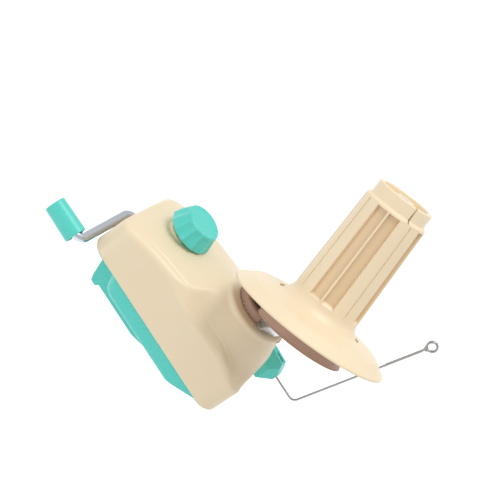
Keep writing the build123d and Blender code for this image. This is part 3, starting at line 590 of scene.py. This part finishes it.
columns = [skin_column(place, out) for place, out in outline]
tall = len(columns[0])
skin_points = [point for column in columns for point in column]
skin_faces = [(n * tall + k, (n + 1) % len(columns) * tall + k, (n + 1) % len(columns) * tall + k + 1,
               n * tall + k + 1) for n in range(len(columns)) for k in range(tall - 1)]
cover = cleaned(new_object("cover_shell", skin_points, skin_faces, cream), 50.0)
print("skin has", len(columns), "columns of", tall, "points")

# %% [markdown]
# ## The cover's wall and holes
# A Solidify modifier gives the sheet a thin moulding's wall, 1.2 mm, inwards, so the cover is a shell
# like the real one. Two holes are cut through it with round cutters, one for the clamp's collar and one
# for the crank's bush in the end wall.

# %% Cover
COVER_WALL, COLLAR_R, BUSH_R = 1.2, 9.6, 4.95
CLAMP_X, CRANK_Y, CRANK_Z = -66, 9, 20.5
at_clamp = Matrix.Translation((CLAMP_X * MM, 0, 0))
at_crank = Matrix.Translation((0, CRANK_Y * MM, CRANK_Z * MM)) @ Matrix.Rotation(pi / 2, 4, "Y")


def cut(made, tool):
    cutter = cleaned(tool)
    hole = made.modifiers.new("hole", "BOOLEAN")
    hole.object = cutter
    hole.solver = "EXACT"
    settled(made)
    bpy.data.objects.remove(cutter)


def drum(r, low, high):
    return turned([(0.001, low), (r, low), (r, high), (0.001, high)], 48)


wall = cover.modifiers.new("wall", "SOLIDIFY")
wall.thickness = COVER_WALL * MM
wall.offset = -1.0
settled(cover)
cut(cover, new_object("collar_hole", *drum(COLLAR_R, 44, 56), cream, at_clamp))
cut(cover, new_object("bush_hole", *drum(BUSH_R, -104, -84), cream, at_crank))
placed(cleaned(cover, 50.0), "housing", "cream", "top_cover")

# %% [markdown]
# ## The ring round the clamp
# A low moulded ring stands on the roof where the clamp's screw comes through. It is part of the same
# moulding, but its edge is crisp, so it is turned on its own and sunk into the roof.

# %% Foot ring
FOOT_RING_R, FOOT_RING_LOW, FOOT_RING_TOP = 12.8, 45, 52
foot_profile = softened([(COLLAR_R, FOOT_RING_LOW), (FOOT_RING_R, FOOT_RING_LOW),
                         (FOOT_RING_R, FOOT_RING_TOP), (COLLAR_R, FOOT_RING_TOP)], [0, 0, 1.2, 0.5])
foot_ring = new_object("cover_foot_ring", *turned(foot_profile), cream, at_clamp)
placed(cleaned(foot_ring), "housing", "cream")

# %% [markdown]
# ## The clamp knob
# Thirteen broad hollow panels meet in soft ridges, so that fingers find a hold. The blank is turned with
# a rounded skirt, a bevelled rim and a slightly dished top, and the rule then presses the panels in:
# shallow at the skirt, full depth up the side, and fading out at the rim.

# %% Knob
KNOB_LOW, KNOB_PANELS, KNOB_SIDE_STEPS = 54.6, 13, 12
skirt = [(5.9, 0.0), (14.8, 0.0), (16.2, 0.25), (17.0, 0.9), (17.3, 1.7)]
side = [(17.2 - 3.3 * t ** 1.1, 2.4 + 9.4 * t)
        for t in [k / KNOB_SIDE_STEPS for k in range(KNOB_SIDE_STEPS + 1)]]
rim_bevel = [(13.75, 12.6), (13.45, 13.3), (12.9, 13.8), (12.2, 14.0), (11.5, 13.95), (10.9, 13.7)]
dished_top = [(10.0, 13.5), (6.0, 13.42), (0.02, 13.4), (0.02, 9.3), (5.9, 9.2)]
knob = new_object("knob_body", *turned(skirt + side + rim_bevel + dished_top, 20 * KNOB_PANELS), teal)
rule = Shaper("knob_panels", {"Panels": float(KNOB_PANELS), "Depth": 1.2, "Low": 0.0, "High": 12.4,
                              "Side from": 13.2})
phase = rule.math("ABSOLUTE", rule.math("SINE", rule.turn * (pi / 360) * rule.size["Panels"]))
rise = ((rule.h - rule.size["Low"]) / 2.0).clamped(0.35, 1.0)
fade = ((rule.size["High"] + 1.2 - rule.h) / 3.0).clamped(0.12, 1.0)
outside = (rule.r > rule.size["Side from"]) * rule.size["Depth"]
rule.shape(knob, rule.r - outside * rise * fade * rule.math("POWER", phase, 0.75), teal)
knob.data.transform(Matrix.Translation((CLAMP_X * MM, 0, KNOB_LOW * MM)))
placed(cleaned(knob, 38.0), "knob", "teal", "clamp_knob")

# %% [markdown]
# ## The crank's grip
# The grip is a short sleeve that turns on the rod's end. Its sides carry eight soft flats. A small cap,
# a CAD node, closes its outer end, and at the rod's bend it opens in a dark mouth. The flats are a rule
# again: a point may not stand further out than a flat plane.

# %% Grip
ARM_TURN, ARM_LENGTH, GRIP_END_X = radians(10.9), 58, -129.2
GRIP_Y, GRIP_Z = CRANK_Y - ARM_LENGTH * cos(ARM_TURN), CRANK_Z - ARM_LENGTH * sin(ARM_TURN)
grip_profile = softened([(5.4, 0), (7.3, 0), (7.75, 25.2), (6.2, 25.2), (6.2, 23), (3.5, 20),
                         (3.5, 5.6), (5.4, 5.6)], [0.0, 1.4, 1.1, 0.5, 0.4, 0.4, 0.3, 0.3], 6)
grip = new_object("grip_sleeve", *turned(grip_profile, 192), teal)
rule = Shaper("grip_flats", {"Sides": 8.0, "Flat": 7.08, "Low": 1.6, "High": 22.5})
corner = rule.fold(rule.turn, 360 / rule.size["Sides"])
flat = rule.size["Flat"] / rule.math("COSINE", (180 / rule.size["Sides"] - corner) * (pi / 180))
middle = (rule.h < rule.size["High"]) * (rule.h > rule.size["Low"])
rule.shape(grip, rule.r - (rule.r - flat).most(0.0) * middle, teal)
grip.data.transform(Matrix.Translation((GRIP_END_X * MM, GRIP_Y * MM, GRIP_Z * MM))
                    @ Matrix.Rotation(pi / 2, 4, "Y"))
placed(cleaned(grip, 38.0), "grip", "teal", "crank_grip")

# %% [markdown]
# ## The winding cone
# One moulding carries everything: a wide flange with a bevelled band, a tapered tube, and a collar on
# its end. It leans on a tilted pin, so it is drawn upright and then laid along the pin's axis. Its
# cream is painted darker down in the hollows and inside the tube, a painted shade for the shadow there.
# The painted shade reads how far a place lies below the tube's outside.

# %% Cone frame and finish
TILT, HEADING, APEX_Z, RIM_REACH = radians(25.8), radians(139.0), 179.5, 85.1
TUBE_R, TUBE_FOOT, TUBE_TAPER = 0.0244, 0.016, 0.0221
# Where the painted hollow shade starts and ends along the tube, and how deep it takes to reach full
# shade.
SHADE_LOW, SHADE_HIGH, SHADE_FROM, SHADE_FULL = 0.0206, 0.0918, 0.0007, 0.0012
cone_axis = Vector((sin(TILT) * cos(HEADING), sin(TILT) * sin(HEADING), cos(TILT)))
rim_centre = (Vector((0, 0, APEX_Z)) - cone_axis * RIM_REACH) * MM
cone_side = Vector((-sin(HEADING), cos(HEADING), 0))
cone_place = Matrix((cone_side, cone_axis.cross(cone_side), cone_axis)).transposed().to_4x4()
cone_place.translation = rim_centre


# Painted shade: the cream darkens where a place lies below the tube's outside, as if shadowed in the
# hollows.
def painted_hollow_shade(finish, colour):
    at = finish.node("ShaderNodeTexCoord", {}, out=3)
    from_rim = finish.node("ShaderNodeVectorMath", {"operation": "SUBTRACT"}, at, rim_centre)
    rise = finish.node("ShaderNodeVectorMath", {"operation": "DOT_PRODUCT"}, from_rim, cone_axis, out=1)
    reach = finish.node("ShaderNodeVectorMath", {"operation": "LENGTH"}, from_rim, out=1)
    radial = finish.math("SQRT", (reach * reach - rise * rise).most(0.0))
    tube_side = TUBE_R - (rise - TUBE_FOOT) * TUBE_TAPER
    depth = ((tube_side - radial - SHADE_FROM) / SHADE_FULL).clamped(0.0, 1.0)
    depth = depth * (rise > SHADE_LOW) * (rise < SHADE_HIGH)
    # Painted shade: the hollows' cream is mixed toward this darker tan.
    return finish.mix(depth * 0.85, colour, srgb(224, 195, 154))


# The cone's cream carries the painted hollow shade.
cone_cream = moulded("cone_moulding_painted_hollow_shade", (242, 223, 190), (235, 212, 176), 0.36, 0.05, painted_hollow_shade)
print("cone axis", [round(c, 3) for c in cone_axis])

# %% [markdown]
# ## The cone's hollows
# Yarn slips off the tube easily because it has four pairs of hollows with a thin rib between each pair,
# and fine grooves between the pairs. The blank is turned with extra columns exactly where a hollow's
# wall stands, and with extra rows along the tube, so the rule can press the walls in crisply.

# %% Cone
FLUTE_TURN, HALF_RIB, HALF_PAIR, GROOVE_FROM = 38.5, 1.92, 22.6, 43.95
HOLLOW_FOOT, HOLLOW_TOP, HOLLOW_DEPTH, GROOVE_DEPTH = 20.4, 91.4, 2.4, 0.65
WALL_COLUMNS = (1.8, 2.05, 22.4, 22.8, 43.8, 44.1)
HOLLOW_ROWS = [20.4, 22.8] + [26 + 5.8 * k for k in range(12)] + [91.38, 91.42]


def cone_columns():
    found = [FLUTE_TURN + 1.5 * n for n in range(240)]
    for pair in range(4):
        middle = FLUTE_TURN + 90 * pair
        found += [middle, middle + 45]
        found += [middle + sign * offset for sign in (-1, 1) for offset in WALL_COLUMNS]
    found = sorted({round(angle % 360, 3) for angle in found})
    return [radians(a) for n, a in enumerate(found) if n == 0 or a - found[n - 1] > 0.04]


def with_hollow_rows(profile):
    rows = []
    for here, ahead in zip(profile, profile[1:] + profile[:1]):
        rows.append(here)
        if min(here[0], ahead[0]) > 22 and here[1] < 30 and ahead[1] > 80:
            for h in HOLLOW_ROWS:
                along = (h - here[1]) / (ahead[1] - here[1])
                rows.append((here[0] + (ahead[0] - here[0]) * along, h))
    return rows


cone_profile = softened([(57.7, 0), (57.7, 1.3), (48.0, 7.7), (28.6, 11.5), (24.4, 16.4), (22.7, 92.9),
                         (20.4, 94.4), (20.4, 103.6), (16.9, 103.6), (16.9, 93), (20.2, 92), (20.2, 10),
                         (47.4, 6.4), (57.1, 0)],
                        [0.1, 0.4, 0.5, 1.6, 3.6, 0.5, 0.5, 1.1, 0.8, 0.3, 0.3, 0.3, 0.3, 0.1], 5)
cone = new_object("cone_flange_and_tube", *turned(with_hollow_rows(cone_profile), cone_columns()),
                  cone_cream)
rule = Shaper("cone_hollows", {"Turn": FLUTE_TURN, "Half rib": HALF_RIB, "Half pair": HALF_PAIR,
                               "Depth": HOLLOW_DEPTH, "Foot": HOLLOW_FOOT, "Top": HOLLOW_TOP,
                               "Groove from": GROOVE_FROM, "Groove": GROOVE_DEPTH, "Tube from": 21.5})
size = rule.size
across = rule.fold(rule.turn - size["Turn"], 90.0)
in_hollow = (across > size["Half rib"]) * (across < size["Half pair"]) * size["Depth"]
in_groove = (across > size["Groove from"]) * size["Groove"]
sunk = (rule.h - size["Foot"]).clamped(0.0, size["Depth"]) * (rule.h < size["Top"])
rule.shape(cone, rule.r - (rule.r > size["Tube from"]) * sunk.least(in_hollow + in_groove), cone_cream)
print("cone blank shaped,", len(cone.data.vertices), "points")

# %% [markdown]
# ## The cone's slots, slit and hubs
# Two rounded slots go through the flange and a thin slit through the collar, cut with simple closed
# shapes. Inside the tube two hubs carry the cone on its pin. The cap on the pin sits in the tube's end
# and is moulded in the cone's own cream, whatever its slot says.

# %% Cone openings and hubs
SLOT_TURN, SLIT_TURN, PIN_HOLE_R = 48.9, 74.9, 3.06


def box_at(turn_deg, x0, x1, half, low, high):
    spin = Matrix.Rotation(radians(turn_deg), 3, "Z")
    plan = ((x0, -half), (x1, -half), (x1, half), (x0, half))
    points = [tuple(spin @ Vector((x, y, z))) for z in (low, high) for x, y in plan]
    return points, [(0, 3, 2, 1), (4, 5, 6, 7), (0, 1, 5, 4), (1, 2, 6, 5), (2, 3, 7, 6), (3, 0, 4, 7)]


def stadium_at(turn_deg, reach, half_long, half_wide, low, high):
    spin = Matrix.Rotation(radians(turn_deg), 3, "Z")
    ring = []
    for end in (1, -1):
        for k in range(13):
            a = radians(-90 + 15 * k) + (0 if end == 1 else pi)
            ring.append((end * (half_long - half_wide) + half_wide * cos(a), reach + half_wide * sin(a)))
    count = len(ring)
    points = [tuple(spin @ Vector((x, y, z))) for z in (low, high) for x, y in ring]
    faces = [tuple(reversed(range(count))), tuple(range(count, 2 * count))]
    faces += [(k, (k + 1) % count, count + (k + 1) % count, count + k) for k in range(count)]
    return points, faces


flange_slots = joined(*[stadium_at(turn_deg, 29.5, 4.5, 1.5, 2, 20)
                        for turn_deg in (SLOT_TURN, SLOT_TURN + 180)])
cut(cone, new_object("collar_slit", *box_at(SLIT_TURN, 16, 26, 0.6, 92.6, 105), cone_cream))
cut(cone, new_object("flange_slots", *flange_slots, cone_cream))
hub_low = turned(softened([(PIN_HOLE_R, 10), (23.4, 10), (23.4, 13), (6, 13), (6, 26),
                           (PIN_HOLE_R, 26)], 0.3), 72)
hub_high = turned(softened([(PIN_HOLE_R, 89), (6, 89), (6, 97.1), (17.4, 97.1), (17.4, 100.1),
                            (PIN_HOLE_R, 100.1)], 0.3), 72)
hubs = new_object("cone_hubs", *joined(hub_low, hub_high), cone_cream)
for made in (cone, hubs):
    made.data.transform(cone_place)
    cleaned(made, 30.0)
placed(cone, "cone", "cream", "winding_cone")
placed(hubs, "cone", "cream")
nodes["cone_cap"].data.materials[0] = cone_cream

# %% [markdown]
# ## The guide wire
# Spring wire is bent once near the holder and wound into an eye of one and a half turns at its end, and
# its tail lies doubled back along the stem. A curve with a round section follows exactly that: a
# straight line, a small bend, a helix and a tail. It is made a mesh at the end, and then cleaned and
# placed as the other pieces are.

# %% Guide wire
WIRE_R, EYE_R, EYE_TURNS, TURN_PITCH = 0.8, 3.5, 1.5, 1.62
BEND_R, FLARE, TAIL = 4.0, 7.5, 30.0
FLARE_STEPS, EYE_STEPS = 10, 60
TAIL_SIDE = TURN_PITCH * EYE_TURNS - WIRE_R
wire_start = Vector((34.0, 30.0, 32.8))
elbow = Vector((64.7, 30.0, 32.8))
eye_foot = Vector((84.2, 54.4, 126.2))
up_stem = (eye_foot - elbow).normalized()
eye_axis = Vector((0.2, -0.88, 0.43)).cross(up_stem).cross(up_stem).normalized()
eye_side = eye_axis.cross(up_stem)
eye_centre = eye_foot + up_stem * EYE_R


def bent(start, corner, end, radius, steps=8):
    first = corner + (start - corner).normalized() * radius
    last = corner + (end - corner).normalized() * radius
    shares = [k / steps for k in range(steps + 1)]
    return [first.lerp(corner, t).lerp(corner.lerp(last, t), t) for t in shares]


wire_line = [wire_start] + bent(wire_start, elbow, eye_foot, BEND_R)
for k in range(FLARE_STEPS + 1):
    aside = (eye_side * EYE_R + eye_axis * WIRE_R) * eased(0, FLARE_STEPS, k)
    wire_line.append(eye_centre - up_stem * FLARE * (1 - k / FLARE_STEPS) - aside)
for k in range(1, EYE_STEPS + 1):
    swing = radians(360 * EYE_TURNS * k / EYE_STEPS - 90)
    wire_line.append(eye_centre + (up_stem * cos(swing) + eye_side * sin(swing)) * EYE_R
                     + eye_axis * (TURN_PITCH * EYE_TURNS * k / EYE_STEPS - WIRE_R))
for k in range(1, FLARE_STEPS + 1):
    wire_line.append(eye_centre - up_stem * FLARE * k / FLARE_STEPS
                     + eye_side * EYE_R * (1 - eased(0, FLARE_STEPS, k)) + eye_axis * TAIL_SIDE)
wire_line.append(eye_foot - up_stem * TAIL + eye_axis * TAIL_SIDE)
print("wire line has", len(wire_line), "points")

# %% [markdown]
# ## The wire's round section
# The line becomes a curve object with a round bevel and closed ends.

# %% Guide wire mesh
wire_curve = bpy.data.curves.new("guide_line", "CURVE")
wire_curve.dimensions = "3D"
wire_curve.bevel_depth = WIRE_R * MM
wire_curve.bevel_resolution = 4
wire_curve.use_fill_caps = True
run = wire_curve.splines.new("POLY")
run.points.add(len(wire_line) - 1)
for point, spot in zip(run.points, wire_line):
    point.co = (*(spot * MM), 1.0)
bevelled = bpy.data.objects.new("guide_line", wire_curve)
bpy.context.scene.collection.objects.link(bevelled)
wire_mesh = as_mesh(bevelled)
bpy.data.objects.remove(bevelled)
wire_mesh.materials.clear()
wire_mesh.materials.append(wire_steel)
guide = bpy.data.objects.new("guide_wire_formed", wire_mesh)
bpy.context.scene.collection.objects.link(guide)
placed(cleaned(guide, 60.0), "guide", "rod_steel", "guide_wire")

# %% [markdown]
# ## The studio floor
# The floor lies far below the winder, so its shadow stays soft. Where the camera looks past the object
# it sees the floor lifted to white, and so do reflections in metal, so the background is white without
# more light on the winder.

# %% Floor
FLOOR_Z, FLOOR_REACH = -0.45, 30.0
FLOOR_LIFT = 0.55
BLACK, WHITE = (0.0, 0.0, 0.0), (1.0, 1.0, 1.0)
floor_mesh = bpy.data.meshes.new("studio_floor")
floor_mesh.from_pydata([(x * FLOOR_REACH, y * FLOOR_REACH, FLOOR_Z)
                        for x, y in ((-1, -1), (1, -1), (1, 1), (-1, 1))], [], [(0, 1, 2, 3)])
floor = bpy.data.objects.new("studio_floor", floor_mesh)
bpy.context.scene.collection.objects.link(floor)
paper = Finish("studio_white")
rays = paper.node("ShaderNodeLightPath", {}).socket.node.outputs
seen = (Wire(paper, rays["Is Camera Ray"]) + Wire(paper, rays["Is Glossy Ray"])
        + Wire(paper, rays["Is Transmission Ray"])).clamped(0.0, 1.0)
paper.give(Base_Color=paper.mix(paper.noise(6.0) * 0.02 + 0.84, BLACK, WHITE), Roughness=0.9,
           Emission_Color=paper.mix(seen * FLOOR_LIFT, BLACK, WHITE), Emission_Strength=1.0)
floor.data.materials.append(paper.material)
print("floor at", FLOOR_Z, "m")

# %% [markdown]
# ## World and lights
# The winder is lit like a catalogue picture: one large soft light above and to the right of the camera,
# a weaker one from the left, and a pale world that fills the rest. The lights are placed along the
# picture's own right and up, so they stay with the photograph's view.

# %% World and lights
WORLD_LEVEL, LIGHT_SIZE = 0.78, 0.8
KEY_POWER, SIDE_POWER = 8.0, 2.5
world = bpy.data.worlds.new("studio_world")
bpy.context.scene.world = world
world.use_nodes = True
world.node_tree.nodes["Background"].inputs[0].default_value = (*WHITE, 1.0)
world.node_tree.nodes["Background"].inputs[1].default_value = WORLD_LEVEL


def soft_light(name, right, up, near, power):
    aim = Vector((0.0, 0.0, 0.07))
    spot = aim + PICTURE_RIGHT * right + PICTURE_UP * up + TO_VIEWER * near
    data = bpy.data.lights.new(name, "AREA")
    data.size = LIGHT_SIZE
    data.energy = power
    lamp = bpy.data.objects.new(name, data)
    lamp.location = spot
    lamp.rotation_euler = (aim - spot).to_track_quat("-Z", "Y").to_euler()
    bpy.context.scene.collection.objects.link(lamp)


soft_light("key_light", 0.9, 0.9, 0.7, KEY_POWER)
soft_light("side_light", -1.1, 0.2, 0.7, SIDE_POWER)
bpy.context.scene.view_settings.view_transform = "Standard"
print("studio ready")
